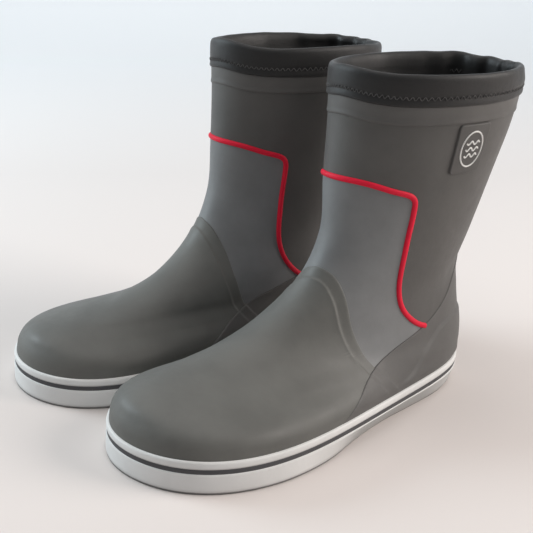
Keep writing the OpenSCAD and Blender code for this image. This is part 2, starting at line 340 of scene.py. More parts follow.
def halves(quads):
    return np.concatenate([quads[:, [0, 1, 2]], quads[:, [0, 2, 3]]])


def ring_solid(profile, ring, angles):
    """Closed band: the profile's [offset, height] points carried round by a ring function."""
    profile = np.asarray(profile, float)
    points = ring(angles[None, :], profile[:, :1], profile[:, 1:])
    return points.reshape(-1, 3), grid_faces(len(profile), len(angles), close_rows=True)


def sweep(path, outward, profile, closed=False):
    """A profile of [across, up] points carried along a path."""
    if closed:
        tangents = unit(np.roll(path, -1, axis=0) - np.roll(path, 1, axis=0))
    else:
        tangents = unit(np.gradient(path, axis=0))
    across = unit(np.cross(tangents, outward))
    up = np.cross(across, tangents)
    profile = np.asarray(profile, float)
    points = (path[:, None] + profile[None, :, :1] * across[:, None] + profile[None, :, 1:] * up[:, None])
    count = len(profile)
    faces = grid_faces(len(path), count, close_rows=closed).tolist()
    if not closed:
        faces.append(list(range(count)))
        faces.append([(len(path) - 1) * count + k for k in range(count)])
    return points.reshape(-1, 3), faces


def half_round(width, height, sunk, steps=9):
    """Cross-section of a bead: a dome on two short sides that go down into what is below."""
    turn = np.linspace(0, math.pi, steps)
    dome = np.stack([width / 2 * np.cos(turn), height * np.sin(turn)], -1)
    return np.vstack([dome, [[-width / 2, -sunk], [width / 2, -sunk]]])


def joined(parts):
    """Several (vertices, faces) pairs as one."""
    vertices, faces, start = [], [], 0
    for points, quads in parts:
        vertices.append(points)
        faces += [[k + start for k in face] for face in quads]
        start += len(points)
    return np.vstack(vertices), faces


def split(data, triangles, column, level):
    """Vertex data and triangles, cut along the line where a column of the data has that value."""
    value = data[:, column] - level
    value = np.where(np.abs(value) < 1e-7, 1e-7, value)
    above = value > 0
    count = above[triangles].sum(axis=1)
    cut = triangles[(count == 1) | (count == 2)]
    whole = triangles[(count == 0) | (count == 3)]
    if not len(cut):
        return data, triangles
    marks = above[cut]
    lone = np.where((marks.sum(axis=1) == 1)[:, None], marks, ~marks).argmax(axis=1)
    rows = np.arange(len(cut))
    a, b, c = (cut[rows, (lone + k) % 3] for k in range(3))
    edges, index = np.unique(np.sort(np.concatenate([np.stack([a, b], 1), np.stack([a, c], 1)]), axis=1),
                             axis=0, return_inverse=True)
    index = index.ravel()
    start, end = value[edges[:, 0]], value[edges[:, 1]]
    t = start / (start - end)
    fresh = data[edges[:, 0]] * (1 - t[:, None]) + data[edges[:, 1]] * t[:, None]
    fresh[:, column] = level
    near = 0.03            # a cut this near a corner, as a share of the edge, goes through the corner
    number = len(data) + np.arange(len(edges))
    number = np.where(t < near, edges[:, 0], np.where(t > 1 - near, edges[:, 1], number))
    data = np.vstack([data, fresh])
    data[number[number < len(data) - len(fresh)], column] = level
    ab, ac = number[index[:len(cut)]], number[index[len(cut):]]
    corners = ([a, ab, ac], [ab, b, c], [ab, c, ac])
    parts = np.concatenate([whole, *(np.stack(three, 1) for three in corners)])
    real = (parts[:, 0] != parts[:, 1]) & (parts[:, 1] != parts[:, 2]) & (parts[:, 0] != parts[:, 2])
    return data, parts[real]


def split_all(data, triangles, column, levels):
    for level in levels:
        data, triangles = split(data, triangles, column, level)
    return data, triangles


def compact(data, triangles):
    """Only the vertex data that the triangles use."""
    used, index = np.unique(triangles, return_inverse=True)
    return data[used], index.reshape(-1, 3)


def trim(data, triangles, column, side, level):
    """The part of the triangles above or below a level of a column."""
    data, triangles = split(data, triangles, column, level)
    middle = data[triangles, column].mean(axis=1)
    return compact(data, triangles[middle > level if side == "above" else middle < level])


def edges_of(triangles):
    return np.concatenate([triangles[:, [0, 1]], triangles[:, [1, 2]], triangles[:, [2, 0]]])


def closed_sheet(outer, inner, triangles):
    """Outer and inner faces of a sheet, joined by walls along its border."""
    count = len(outer)
    edges = edges_of(triangles)
    keys = edges[:, 0] * count + edges[:, 1]
    border = edges[~np.isin(keys, edges[:, 1] * count + edges[:, 0])]
    walls = np.stack([border[:, 1], border[:, 0], border[:, 0] + count, border[:, 1] + count], 1)
    faces = np.concatenate([triangles, triangles[:, ::-1] + count]).tolist() + walls.tolist()
    return np.vstack([outer, inner]), faces


# ---- the grid that every panel is cut from ----

V, COS, SIN, COUNTER, VAMP, PIPING, STIFFENER = range(7)


def station_rows(low, high, spacing):
    """Stations whose rings are about equally far apart where they are furthest apart."""
    fine = np.linspace(low, high, 600)
    angles = np.radians([0, 60, 120, 180])
    points = skin(fine[:, None], angles[None, :], 0.0)
    steps = np.linalg.norm(np.diff(points, axis=0), axis=-1).max(axis=1)
    run = np.concatenate([[0], np.cumsum(steps)])
    return np.interp(np.linspace(0, run[-1], int(run[-1] / spacing)), run, fine)


def surface_slope(values, points):
    """How fast a value changes along the surface, per millimetre, over a grid closed round the boot."""
    def change_round(x):
        return (np.roll(x, -1, axis=1) - np.roll(x, 1, axis=1)) / 2

    up_p, round_p = np.gradient(points, axis=0), change_round(points)
    up_f, round_f = np.gradient(values, axis=0), change_round(values)
    e, f, g = (up_p * up_p).sum(-1), (up_p * round_p).sum(-1), (round_p * round_p).sum(-1)
    slope = (g * up_f ** 2 - 2 * f * up_f * round_f + e * round_f ** 2) / np.maximum(e * g - f * f, 1e-9)
    return np.sqrt(np.maximum(slope, 0))


def upper_grid():
    """Vertex data and triangles of the whole upper, with the distance from each panel's edge line."""
    v = station_rows(BELOW_FEATHER, TOP_STATION - (RIM_Z - SHAFT_TOP_Z) / STATION_RISE + 0.02, ROW_SPACING)
    v, angle = np.meshgrid(v, turns(AROUND), indexing="ij")
    points = skin(v, angle, 0.0)
    forward, up = -points[..., 1], points[..., 2]
    inner = ease(-np.sin(angle), 1.2)      # 0 on the outer side of the boot, 1 on the inner side
    least_slope, most_slope = 0.45, 1.1
    columns = [v, np.cos(angle), np.sin(angle)]
    for line, shift in ((COUNTER_LINE, INNER_COUNTER_SHIFT), (VAMP_LINE, INNER_VAMP_SHIFT),
                        (PIPING_LINE, INNER_PIPING_SHIFT), (STIFFENER_LINE, [0, 0])):
        x, y = forward - shift[0] * inner, up - shift[1] * inner
        flat = line_distance(smooth_line(line), x, y, runs_on=True)
        columns.append(flat / np.clip(surface_slope(flat, points), least_slope, most_slope))
    return np.stack(columns, -1).reshape(-1, len(columns)), halves(grid_faces(*v.shape))


def angle_of(data):
    return np.arctan2(data[:, SIN], data[:, COS])


EDGE_STEPS = (0, 0.05, 0.2, 0.5, 1)    # cuts across a rounded edge, as shares of its radius


def rounded(height, inside, radius):
    """Height near an edge: a quarter round from the buried foot of the edge up to the face."""
    return BURIED + (height - BURIED) * quarter_round(inside / radius)


def vamp_relief(distance):
    """Height of the vamp over the panel below, with the soft ridge of its inner reinforcement."""
    crest, crest_at, crest_width = 0.16, 0.9, 0.8
    ridge = distance - RIDGE_INSET
    return (VAMP_H + VAMP_RIDGE_H * ease(ridge, RIDGE_SOFTNESS)
            + crest * np.exp(-((ridge - crest_at) / crest_width) ** 2))


def counter_relief(data):
    """Height of the counter, which shows the vamp and its ridge below and the stiffener inside."""
    edge_softness, stiffener_softness = 1.6, 5
    vamp = data[:, VAMP]
    below = VAMP_H * ease(vamp, edge_softness) + VAMP_RIDGE_H * ease(vamp - RIDGE_INSET, RIDGE_SOFTNESS)
    return COUNTER_H + OVERLAP_SHOWN * below + STIFFENER_H * ease(data[:, STIFFENER], stiffener_softness)


def cut_panel(grid, keeps, cuts=()):
    """The part of the grid between the lines in keeps, also cut along the lines in cuts."""
    data, triangles = grid
    for column, side, level in keeps:
        data, triangles = trim(data, triangles, column, side, level)
    for column, levels in cuts:
        data, triangles = split_all(data, triangles, column, levels)
    return compact(data, triangles)


def panel_solid(data, triangles, height):
    """A panel with that height on its face and the wall's thickness behind."""
    v, angle = data[:, V], angle_of(data)
    return closed_sheet(skin(v, angle, height), skin(v, angle, np.full(len(data), WALL_INNER)), triangles)


# ---- materials ----

def noise(nodes, links, vector, scale, detail):
    node = nodes.new("ShaderNodeTexNoise")
    node.inputs["Scale"].default_value = scale
    node.inputs["Detail"].default_value = detail
    node.inputs["Roughness"].default_value = 0.55
    links.new(vector, node.inputs["Vector"])
    return node.outputs["Fac"]


def maths(nodes, links, operation, *values):
    """Result of a sum on sockets and numbers."""
    node = nodes.new("ShaderNodeMath")
    node.operation = operation
    for socket, value in zip(node.inputs, values):
        if isinstance(value, float):
            socket.default_value = value
        else:
            links.new(value, socket)
    return node.outputs[0]


def spread(nodes, links, value, low, high, start=0.35, end=0.65):
    """Values from start to end spread over low to high."""
    node = nodes.new("ShaderNodeMapRange")
    for key, number in (("From Min", start), ("From Max", end), ("To Min", low), ("To Max", high)):
        node.inputs[key].default_value = number
    links.new(value, node.inputs["Value"])
    return node.outputs["Result"]


def blend_colours(nodes, links, factor, colour_a, colour_b):
    node = nodes.new("ShaderNodeMix")
    node.data_type = "RGBA"
    links.new(factor, node.inputs[0])
    for socket, colour in ((node.inputs[6], colour_a), (node.inputs[7], colour_b)):
        if isinstance(colour, tuple):
            socket.default_value = (*colour, 1)
        else:
            links.new(colour, socket)
    return node.outputs[2]


def shade(colour, factor):
    return tuple(min(1.0, c * factor) for c in colour)


def bump(nodes, links, height, strength, distance, before=None):
    node = nodes.new("ShaderNodeBump")
    node.inputs["Strength"].default_value = strength
    node.inputs["Distance"].default_value = distance
    links.new(height, node.inputs["Height"])
    if before is not None:
        links.new(before, node.inputs["Normal"])
    return node.outputs["Normal"]


def new_material(name):
    material = bpy.data.materials.new(name)
    material.use_nodes = True
    nodes, links = material.node_tree.nodes, material.node_tree.links
    where = nodes.new("ShaderNodeTexCoord").outputs["Object"]
    return material, nodes, links, nodes["Principled BSDF"], where


def rubber(name, colour, roughness=(0.5, 0.62), mottle=0.10, grain=0.25, specular=0.4, rub=1.25, underside_shade=0):
    """Satin moulded rubber with fine grain, paler by rub on edges, and darker where it faces down, which is
    painted shade.
    """
    material, nodes, links, shader, where = new_material(name)
    cloudy = noise(nodes, links, where, scale=28, detail=5)
    base = blend_colours(nodes, links, spread(nodes, links, cloudy, 0, 1), shade(colour, 1 - mottle),
                         shade(colour, 1 + mottle))
    geometry = nodes.new("ShaderNodeNewGeometry")
    # painted shade: where the surface faces down it is darkened towards 0.4 of its colour, as shade under the
    # overhang
    if underside_shade:
        facing = nodes.new("ShaderNodeSeparateXYZ")
        links.new(geometry.outputs["Normal"], facing.inputs[0])
        under = spread(nodes, links, facing.outputs["Z"], 0, underside_shade, start=-0.05, end=-0.4)
        base = blend_colours(nodes, links, under, base, shade(colour, 0.4))
    worn = spread(nodes, links, geometry.outputs["Pointiness"], 0, 0.35, start=0.515, end=0.58)
    pale = tuple(min(1.0, c * rub + 0.06 * (rub - 1)) for c in colour)
    links.new(blend_colours(nodes, links, worn, base, pale), shader.inputs["Base Color"])
    patchy = noise(nodes, links, where, scale=55, detail=4)
    links.new(spread(nodes, links, patchy, *roughness), shader.inputs["Roughness"])
    shader.inputs["Specular IOR Level"].default_value = specular
    fine = noise(nodes, links, where, scale=2600, detail=2)
    broad = noise(nodes, links, where, scale=120, detail=3)
    normal = bump(nodes, links, broad, strength=0.12, distance=0.0012)
    normal = bump(nodes, links, fine, strength=grain, distance=0.00012, before=normal)
    links.new(normal, shader.inputs["Normal"])
    return material


def fabric(name, colour, thread_per_m=2200, sheen=0.25, roughness=0.62, weave=0.5, specular=0.3):
    """Fine woven textile: crossed threads that rise and fall, with slight unevenness of dye."""
    material, nodes, links, shader, where = new_material(name)
    axes = nodes.new("ShaderNodeSeparateXYZ")
    links.new(where, axes.inputs[0])
    across = maths(nodes, links, "ADD", axes.outputs["X"], axes.outputs["Y"])
    threads = [maths(nodes, links, "SINE", maths(nodes, links, "MULTIPLY", value, thread_per_m * math.pi))
               for value in (across, axes.outputs["Z"])]
    crossed = maths(nodes, links, "MULTIPLY", *threads)
    woven = spread(nodes, links, crossed, 0, 1, start=-1, end=1)
    # painted shade: the low gaps between the threads are darkened towards 0.55 of the colour
    gap_shade = spread(nodes, links, crossed, 0, 0.35, start=0.3, end=-1)
    cloudy = noise(nodes, links, where, scale=60, detail=4)
    base = blend_colours(nodes, links, spread(nodes, links, cloudy, 0, 1), shade(colour, 0.9),
                         shade(colour, 1.1))
    links.new(blend_colours(nodes, links, gap_shade, base, shade(colour, 0.55)), shader.inputs["Base Color"])
    links.new(spread(nodes, links, cloudy, roughness - 0.06, roughness + 0.06), shader.inputs["Roughness"])
    shader.inputs["Sheen Weight"].default_value = sheen
    shader.inputs["Sheen Roughness"].default_value = 0.5
    shader.inputs["Specular IOR Level"].default_value = specular
    wrinkle = noise(nodes, links, where, scale=350, detail=4)
    normal = bump(nodes, links, wrinkle, strength=0.2, distance=0.0006)
    normal = bump(nodes, links, woven, strength=weave, distance=0.00012, before=normal)
    links.new(normal, shader.inputs["Normal"])
    return material


def foam(name, colour, cell_per_m=1500):
    """Open cellular foam."""
    material, nodes, links, shader, where = new_material(name)
    cells = nodes.new("ShaderNodeTexVoronoi")
    cells.inputs["Scale"].default_value = cell_per_m
    links.new(where, cells.inputs["Vector"])
    # painted shade and highlight: each cell is darker in its hollow middle, down to 0.6 of the colour, and
    # lighter on its rim, up to 1.1
    tone = spread(nodes, links, cells.outputs["Distance"], 0, 1, start=0.1, end=0.7)
    links.new(blend_colours(nodes, links, tone, shade(colour, 0.6), shade(colour, 1.1)),
              shader.inputs["Base Color"])
    shader.inputs["Roughness"].default_value = 0.9
    normal = bump(nodes, links, cells.outputs["Distance"], strength=0.6, distance=0.0004)
    links.new(normal, shader.inputs["Normal"])
    return material


def fibre(name, colour):
    """Pressed fibre board or stiffener sheet, with long matted strands."""
    material, nodes, links, shader, where = new_material(name)
    stretch = nodes.new("ShaderNodeMapping")
    stretch.inputs["Scale"].default_value = (1, 0.15, 1)
    links.new(where, stretch.inputs["Vector"])
    strands = noise(nodes, links, stretch.outputs[0], scale=1800, detail=6)
    tone = spread(nodes, links, strands, 0, 1)
    links.new(blend_colours(nodes, links, tone, shade(colour, 0.75), colour), shader.inputs["Base Color"])
    shader.inputs["Roughness"].default_value = 0.85
    links.new(bump(nodes, links, strands, strength=0.4, distance=0.0003), shader.inputs["Normal"])
    return material


# The material of each slot: its kind, its colour and what sets it apart
LOOKS = {
    "upper_rubber": (rubber, (0.088, 0.085, 0.081), {}),
    "panel_rubber": (rubber, (0.182, 0.187, 0.189), {}),
    "piping_rubber": (rubber, (0.72, 0.010, 0.040), {"mottle": 0.06, "specular": 0.22, "rub": 1}),
    "vamp_rubber": (rubber, (0.120, 0.120, 0.111), {}),
    "counter_rubber": (rubber, (0.098, 0.095, 0.091), {}),
    "band_rubber": (rubber, (0.094, 0.091, 0.087), {}),
    "patch_rubber": (rubber, (0.082, 0.079, 0.076), {}),
    "emblem_rubber": (rubber, (0.72, 0.72, 0.70), {"mottle": 0.04}),
    # the sidewall darkens with painted shade where it faces down
    "sidewall_rubber": (rubber, (0.70, 0.70, 0.69), {"roughness": (0.55, 0.7), "mottle": 0.05, "underside_shade": 0.8}),
    "stripe_rubber": (rubber, (0.06, 0.06, 0.064), {"mottle": 0.06}),
    "outsole_rubber": (rubber, (0.17, 0.165, 0.16), {"roughness": (0.5, 0.68)}),
    "cuff_fabric": (fabric, (0.017, 0.0167, 0.0167), {"sheen": 0.08, "roughness": 0.5, "specular": 0.33}),
    "lining_textile": (fabric, (0.018, 0.019, 0.022), {"thread_per_m": 1100, "weave": 0.9, "roughness": 0.9}),
    "footbed_foam": (fabric, (0.05, 0.05, 0.055), {"thread_per_m": 900, "weave": 0.9, "roughness": 0.9}),
    "thread": (fabric, (0.075, 0.073, 0.072), {"thread_per_m": 3500, "weave": 0.8}),
    "cuff_wadding": (foam, (0.28, 0.28, 0.28), {}),
    "sponge": (foam, (0.10, 0.10, 0.10), {"cell_per_m": 900}),
    "insole_board": (fibre, (0.42, 0.31, 0.20), {}),
    "stiffener": (fibre, (0.62, 0.61, 0.58), {}),
}
MATERIALS = {slot: kind(slot, colour, **extras) for slot, (kind, colour, extras) in LOOKS.items()}


# ---- uppers ----

def add_uppers(side, grid):
    """The vamp and the counter, with rounded edges and soft ridges, over the instep panel and the shaft."""
    under = [(COUNTER, "below", HIDDEN_LAP), (VAMP, "below", HIDDEN_LAP)]
    data, triangles = cut_panel(
        grid, [(VAMP, "above", 0), (COUNTER, "below", HIDDEN_LAP)],
        [(VAMP, [VAMP_ROUND * k for k in EDGE_STEPS[1:]]),
         (VAMP, [RIDGE_INSET + k for k in (-1.2, -0.4, 0.4, 1.2, 2)])])
    height = rounded(vamp_relief(data[:, VAMP]), data[:, VAMP], VAMP_ROUND)
    add_piece(side, "vamp", "vamp_rubber", *panel_solid(data, triangles, height))

    data, triangles = cut_panel(
        grid, [(COUNTER, "above", 0)],
        [(COUNTER, [COUNTER_ROUND * k for k in EDGE_STEPS[1:]]), (VAMP, (-0.8, 0, 0.8)),
         (VAMP, [RIDGE_INSET + k for k in (-1.2, 0, 1.2)])])
    height = rounded(counter_relief(data), data[:, COUNTER], COUNTER_ROUND)
    add_piece(side, "heel_counter", "counter_rubber", *panel_solid(data, triangles, height))

    for node, slot, where, level, face in (("instep_panel", "panel_rubber", "above", -PIPING_LAP, PANEL_H),
                                           ("shaft", "upper_rubber", "below", PIPING_LAP, SHAFT_H)):
        data, triangles = cut_panel(grid, [(PIPING, where, level), *under])
        add_piece(side, node, slot, *panel_solid(data, triangles, np.full(len(data), face)))


def chain(edges):
    """The vertices along a line of edges, from one end to the other by the fewest steps."""
    beside = {}
    for a, b in edges.tolist():
        beside.setdefault(a, []).append(b)
        beside.setdefault(b, []).append(a)
    start = next(k for k, others in beside.items() if len(others) == 1)
    came, reached = {start: None}, [start]
    for at in reached:
        for other in beside[at]:
            if other not in came:
                came[other] = at
                reached.append(other)
    order, at = [], reached[-1]
    while at is not None:
        order.append(at)
        at = came[at]
    return order


def piping_path(grid):
    """Station, cosine and sine along the piping, from one end under the counter to the other."""
    tucked, lowest, spacing, smoothings = 1.5, 3, 1.2, 3
    data, triangles = split(*grid, PIPING, 0)
    edges = np.unique(np.sort(edges_of(triangles), axis=1), axis=0)
    on_line = np.abs(data[:, PIPING]) < 1e-6
    shown = (data[:, COUNTER] < tucked) & (data[:, V] > lowest)
    path = data[chain(edges[(on_line & shown)[edges].all(axis=1)])]
    places = skin(path[:, V], angle_of(path), 0.0)
    smooth = resample(np.column_stack([places, path[:, [V, COS, SIN]]]), spacing)
    for _ in range(smoothings):
        smooth[1:-1] = (smooth[:-2] + 2 * smooth[1:-1] + smooth[2:]) / 4
    return smooth[:, 3:]


def add_piping(side, grid):
    path = piping_path(grid)
    v, angle = path[:, 0], np.arctan2(path[:, 2], path[:, 1])
    bead = half_round(PIPING_W, PIPING_H, 0.5, steps=13)
    add_piece(side, "piping", "piping_rubber", *sweep(skin(v, angle, SHAFT_H), normals(v, angle), bead))


def add_top_band(side):
    """Smooth band round the top of the shaft, with a ridge along its lower edge."""
    profile = [[-0.4, BAND_Z - 0.7], [0.25, BAND_Z - 0.7], [0.6, BAND_Z - 0.4], [0.85, BAND_Z + 0.3],
               [0.85, BAND_Z + 1], [0.7, BAND_Z + 1.8], [0.55, BAND_Z + 2.8], [0.5, BAND_Z + 4.5],
               [0.5, SHAFT_TOP_Z + 0.8], [-0.4, SHAFT_TOP_Z + 0.8]]
    add_piece(side, "top_band", "band_rubber", *ring_solid(profile, top_ring, turns(AROUND)))


# ---- sole ----

def sole_ring(angle, offset, z):
    """Points round the sole, with the outline of the lowest station."""
    return level_ring(0.0 * angle + 0.0 * z, angle, offset, z)


def drawn_in(points):
    """Sole points drawn in towards the floor, so that the sides slope in under the waist and the heel."""
    points = np.array(points, float)
    forward = -points[:, 1]
    depth = np.clip((SIDEWALL_TOP_Z - points[:, 2]) / SIDEWALL_TOP_Z, 0, 1)
    draw = along(SOLE_DRAW, np.clip(forward / DRAW_STEP, 0, len(SOLE_DRAW) - 1))[:, 0]
    points[:, 0] *= 1 - depth * draw / WAIST_HALF_WIDTH
    points[:, 1] -= depth * HEEL_DRAW * ease(1 - forward / HEEL_LENGTH, 1)
    return points


def add_foxing(side):
    """The three bands round the sole: light sidewall, dark stripe and light rim."""
    around, inner = 480, FOXING_INNER
    bands = {
        "foxing_sidewall": ("sidewall_rubber", [
            [inner, TREAD_T], [1.3, TREAD_T], [1.65, TREAD_T + 0.25], [1.85, TREAD_T + 0.9],
            [1.9, TREAD_T + 3], [1.85, SIDEWALL_TOP_Z - 2], [1.8, SIDEWALL_TOP_Z - 0.8],
            [1.6, SIDEWALL_TOP_Z - 0.25], [1.25, SIDEWALL_TOP_Z], [inner, SIDEWALL_TOP_Z]]),
        "foxing_stripe": ("stripe_rubber", [
            [inner, SIDEWALL_TOP_Z - 0.1], [1.1, SIDEWALL_TOP_Z - 0.1], [1.35, SIDEWALL_TOP_Z + 0.6],
            [1.4, SIDEWALL_TOP_Z + 1.6], [1.35, STRIPE_TOP_Z - 0.6], [1.1, STRIPE_TOP_Z + 0.1],
            [inner, STRIPE_TOP_Z + 0.1]]),
        "foxing_rim": ("sidewall_rubber", [
            [inner, STRIPE_TOP_Z], [1.15, STRIPE_TOP_Z], [1.55, STRIPE_TOP_Z + 0.3], [1.75, STRIPE_TOP_Z + 1],
            [1.75, FEATHER_Z - 1.6], [1.6, FEATHER_Z - 0.7], [1.2, FEATHER_Z - 0.1], [0.7, FEATHER_Z + 0.1],
            [inner, FEATHER_Z + 0.1]]),
    }
    for node, (slot, profile) in bands.items():
        vertices, faces = ring_solid(profile, sole_ring, turns(around))
        add_piece(side, node, slot, drawn_in(vertices), faces)


def sole_grid(spacing, margin):
    """Flat triangles over the sole, with x, y and the distance inside the feather outline."""
    box = sole_ring(turns(90), np.zeros(90), np.zeros(90))
    low, high = box.min(axis=0) - margin, box.max(axis=0) + margin
    x, y = np.meshgrid(*(np.arange(low[k], high[k], spacing) for k in (0, 1)), indexing="xy")
    outline = sole_ring(np.arange(241) * math.tau / 240, np.zeros(241), np.zeros(241))[:, :2]
    data = np.stack([x, y, line_distance(outline, x, y)], -1).reshape(-1, 3)
    return data, halves(grid_faces(*x.shape, close_columns=False))


def flat_plate(data, triangles, low, high):
    """Closed plate over flat triangles, between two heights, each one number or one for each vertex."""
    faces = [np.column_stack([data[:, :2], np.broadcast_to(z, len(data))]) for z in (high, low)]
    return closed_sheet(*faces, triangles)


def add_outsole(side):
    """Tread with wavy cross grooves inside a plain border, and plain under the arch."""
    pitch, width, depth, flank, border = 7.5, 2.2, 1.1, 0.35, 7
    wave_height, wave_length = 2.6, 24
    arch_middle, arch_half_length = 132, 24
    overhang, round_width, round_height = 1.4, 0.8, 0.35
    data, triangles = trim(*sole_grid(1.3, 3), 2, "above", -overhang)
    forward = -data[:, 1] + wave_height * np.sin(data[:, 0] * math.tau / wave_length)
    groove = width / 2 - np.abs((forward / pitch) % 1 - 0.5) * pitch
    arch = np.abs(-data[:, 1] - arch_middle) - arch_half_length
    data = np.column_stack([data, np.minimum(np.minimum(groove, data[:, 2] - border), arch)])
    data, triangles = split_all(data, triangles, 3, (0, flank))
    data, triangles = split_all(data, triangles, 2, (-1.1, -0.6))
    low = (depth * np.clip(data[:, 3] / flank, 0, 1)
           + round_height * (1 - quarter_round((data[:, 2] + overhang) / round_width)))
    high = np.where(data[:, 2] < 0, TREAD_T + 0.1, SOLE_TOP_Z)
    vertices, faces = flat_plate(data, triangles, low, high)
    add_piece(side, "outsole", "outsole_rubber", drawn_in(vertices), faces)


def add_midsole(side):
    """Flat sponge filler that fits inside the foxing, between the outsole and the insole board."""
    clearance = 0.1
    data, triangles = trim(*sole_grid(4, 0), 2, "above", clearance - FOXING_INNER)
    vertices, faces = flat_plate(data, triangles, SOLE_TOP_Z, MARGIN_Z)
    add_piece(side, "midsole", "sponge", drawn_in(vertices), faces)


def add_footbed(side):
    """Loose footbed with a rolled edge and a shallow heel cup."""
    inset, radius = 1.6 - LINING_INNER, 2.2
    cup_depth, cup_forward, cup_length, cup_width, cup_shift = 0.8, 45, 32, 22, 4
    levels = [inset + radius * k for k in EDGE_STEPS]
    data, triangles = split_all(*trim(*sole_grid(2.2, 0), 2, "above", levels[0]), 2, levels[1:])
    cup = np.exp(-(((-data[:, 1] - cup_forward) / cup_length) ** 2
                   + ((data[:, 0] + cup_shift) / cup_width) ** 2))
    edge = radius * (1 - quarter_round((data[:, 2] - inset) / radius))
    high = FOOTBED_Z + FOOTBED_T - edge - cup_depth * cup
    add_piece(side, "footbed", "footbed_foam", *flat_plate(data, triangles, FOOTBED_Z, high), body="footbed")


# ---- inside ----

def add_lining(side):
    """Textile wall just inside the rubber, open at the top and over the footbed."""
    around, spacing, gap = 160, 3.5, 0.15
    v = station_rows(BELOW_FEATHER, TOP_STATION - (RIM_Z - SHAFT_TOP_Z) / STATION_RISE, spacing)
    outer, inner = (skin(v[:, None], turns(around)[None, :], np.full((len(v), around), offset))
                    for offset in (WALL_INNER - gap, LINING_INNER))
    vertices = np.concatenate([outer, inner[::-1]]).reshape(-1, 3)
    add_piece(side, "lining", "lining_textile", vertices, grid_faces(2 * len(v), around, close_rows=True))


def finish_hidden_nodes(side):
    """Materials on the CAD solids between the lining and the rubber and under the footbed."""
    for node, slot in (("insole_board", "insole_board"), ("toe_puff", "stiffener"),
                       ("heel_stiffener", "stiffener")):
        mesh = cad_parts[f"{side}_{node}"].data
        mesh.materials.clear()
        mesh.materials.append(MATERIALS[slot])


# ---- cuff ----

# Closed profiles of the cuff's skin and its wadding, as [level offset, height]
CUFF_PROFILE = [
    [0.3, 217.1], [1.2, 217.2], [1.75, 218.0], [1.7, 219.6], [1.25, STITCH_Z - 0.6], [1.2, STITCH_Z + 0.4],
    [1.5, 224.8], [1.45, 228], [1.3, 231], [0.9, 233.2], [0, 234.8], [-1.3, 235.4], [-2.7, 234.9],
    [-3.8, 233.2], [-4.5, 230.5], [-4.7, 226.5], [-4.5, STITCH_Z], [-4.9, 217], [-5.0, 209], [-4.9, 201],
    [-4.7, 199.2], [-4.1, 199.2], [-3.7, 204], [-3.65, 215], [-3.6, 227], [-3.1, 231.4], [-2.2, 233.4],
    [-1.1, 232.9], [-0.5, 230.5], [0.1, 227], [0.3, 222.4], [0.1, 218.8]]
WADDING_PROFILE = [
    [-0.5, 218.8], [-0.5, 222.5], [-0.6, 227], [-1.0, 229.6], [-1.7, 231], [-2.5, 230.4], [-3, 227],
    [-3.1, 218.8]]
REAR_LEAN = 1.5        # how far the rim leans in at the outer rear corner
# Rise of the soft rim every eighth of the way round, from the front past the outer side
RIM_RISE = {"left": [1, 1.8, 1.1, 0, -1.2, 0.6, 0.4, 2], "right": [2.5, 1.7, 0, -2, -2.6, -1.5, 2, 1.5]}
# Gathers of the inside fabric: degrees round from the front, width in degrees, and depth in millimetres
PLEATS = {
    "left": [(226, 13, 2.6), (209, 7, -1.6), (196, 9, 3.4), (174, 6, 2.6), (160, 7, 2.2), (244, 12, 1.3),
             (120, 14, 1)],
    "right": [(133, 11, 1.8), (150, 8, -1.2), (163, 8, 2.4), (180, 6, 3), (196, 8, 2.4), (108, 12, 1.2),
              (75, 14, 0.8)]}
PLEAT_LEAN = 0.55
WAVE_SEEDS = {"left": 3, "right": 8}


def pleat_depth(angle, pleats):
    """How far the gathers push the inside fabric in; each rises slowly and falls away sharply."""
    depth = np.zeros(np.shape(angle))
    for middle, width, height in pleats:
        away = (np.degrees(angle) - middle + 180) % 360 - 180
        lean = 1 + PLEAT_LEAN * np.tanh(away / width)
        depth = depth + height * np.exp(-(away / (width * lean)) ** 2)
    return depth


def waves(angle, z, seed):
    """Small uneven waves of soft fabric, from -1 to 1."""
    rng = np.random.default_rng(seed)
    shape = np.zeros(np.broadcast(angle, z).shape)
    for k in (3, 5, 8, 13, 21):
        tilt = (z - RIM_Z) * rng.uniform(-0.06, 0.06)
        shape = shape + rng.uniform(0.4, 1) / k ** 0.6 * np.cos(k * angle + rng.uniform(0, math.tau) + tilt)
    return shape


def softened(side, angle, offset, z):
    """The cuff's level offset and height, with its gathers, waves and uneven rim."""
    middle_offset, loose_z, rim_z, lean_at, lean_width = -1.8, 214, 229, 150, 34
    inside = ease(middle_offset - offset, 2.4)
    upper = ease(z - loose_z, 22)
    rim = ease(z - rim_z, 9)
    seed = WAVE_SEEDS[side]
    pleats = pleat_depth(angle, PLEATS[side])
    outer_share, rim_share = 0.3, 0.22     # how much of the gathers the outer face and the rim take up
    rise = smooth_loop([[value] for value in RIM_RISE[side]], 12)[:, 0]
    rise = np.interp(angle, np.linspace(0, math.tau, len(rise) + 1), np.append(rise, rise[0]))
    lean = REAR_LEAN * np.exp(-((np.degrees(angle) - lean_at) / lean_width) ** 2)
    offset = (offset + upper * waves(angle, z, seed) * (0.2 + 0.35 * inside)
              - upper * inside * pleats - outer_share * rim * (1 - inside) * pleats - rim * lean)
    return offset, z + rim * (rise - rim_share * pleats + 0.25 * waves(angle, 0 * z, seed + 1))


def soft_ring(side, profile, around):
    """A closed profile of the cuff carried round the top of the boot and softened."""
    angle = np.broadcast_to(turns(around)[None, :], (len(profile), around))
    offset, z = softened(side, angle, profile[:, :1], profile[:, 1:])
    return top_ring(angle, offset, z).reshape(-1, 3), grid_faces(len(profile), around, close_rows=True)


def add_cuff(side):
    """Padded cuff: a closed fabric skin round a wadding core, soft at the rim and gathered at the back."""
    for node, slot, profile, around in (("cuff", "cuff_fabric", CUFF_PROFILE, 420),
                                        ("cuff_padding", "cuff_wadding", WADDING_PROFILE, 240)):
        vertices, faces = soft_ring(side, smooth_loop(profile, 4), around)
        add_piece(side, node, slot, vertices, faces)


